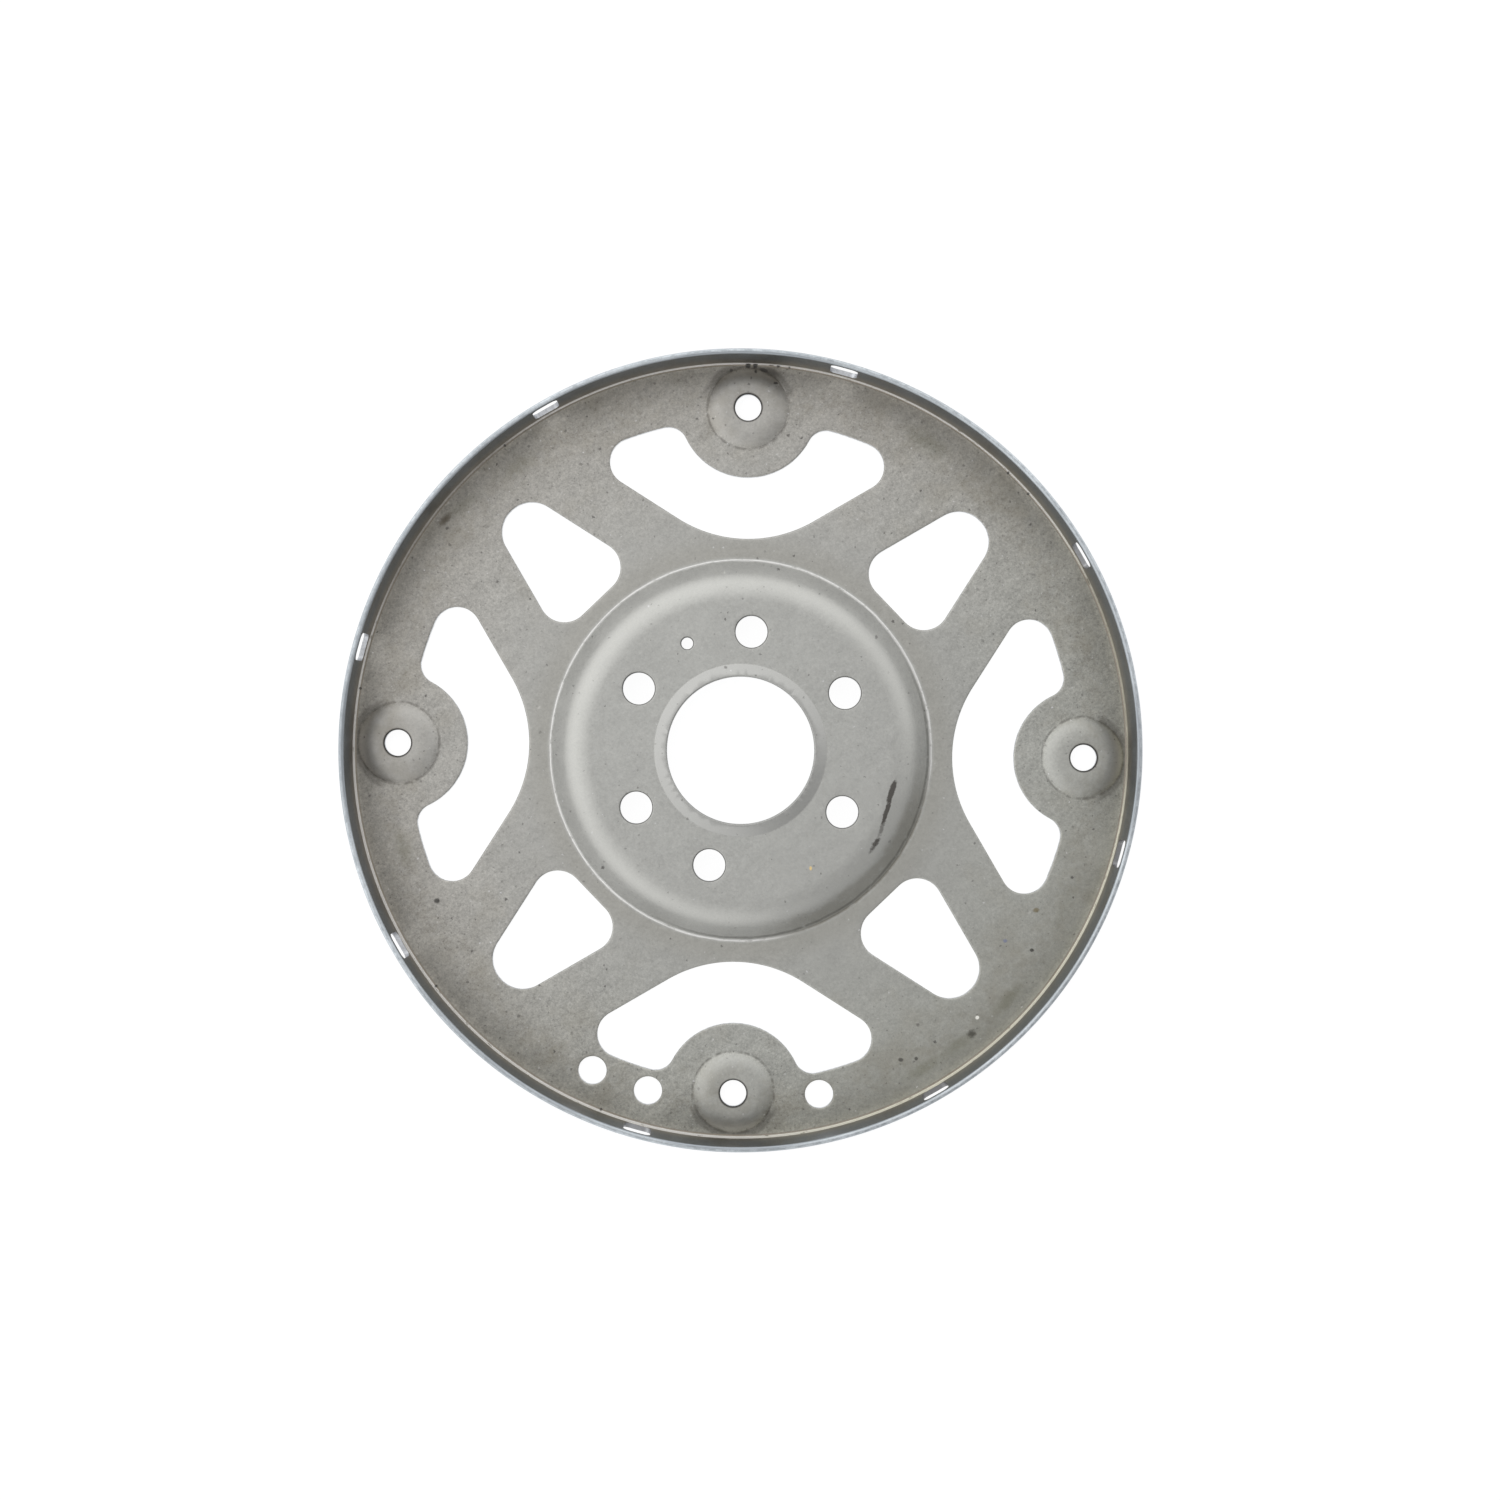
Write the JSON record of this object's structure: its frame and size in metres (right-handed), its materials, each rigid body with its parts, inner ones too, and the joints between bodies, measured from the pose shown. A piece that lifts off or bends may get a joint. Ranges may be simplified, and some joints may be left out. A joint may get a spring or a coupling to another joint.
{
  "type": "flexplate",
  "caption": "Round pressed steel drive plate with a raised hub, converter bosses, lightening windows and an upright slotted rim.",
  "frame": {"origin": "on the plate's axis, on the flat back face of the web, which it lies on", "axes": "+Z along the axis, from the back face towards the rim's free edge and the converter; +X and +Y through two neighbouring converter holes"},
  "size_m": [0.327, 0.327, 0.023],
  "materials": {
    "steel": "bare pressed steel, lightly oiled, dull, with stains and bright worn creases"
  },
  "bodies": {
    "root": {"flexplate": "steel"}
  },
  "joints": []
}
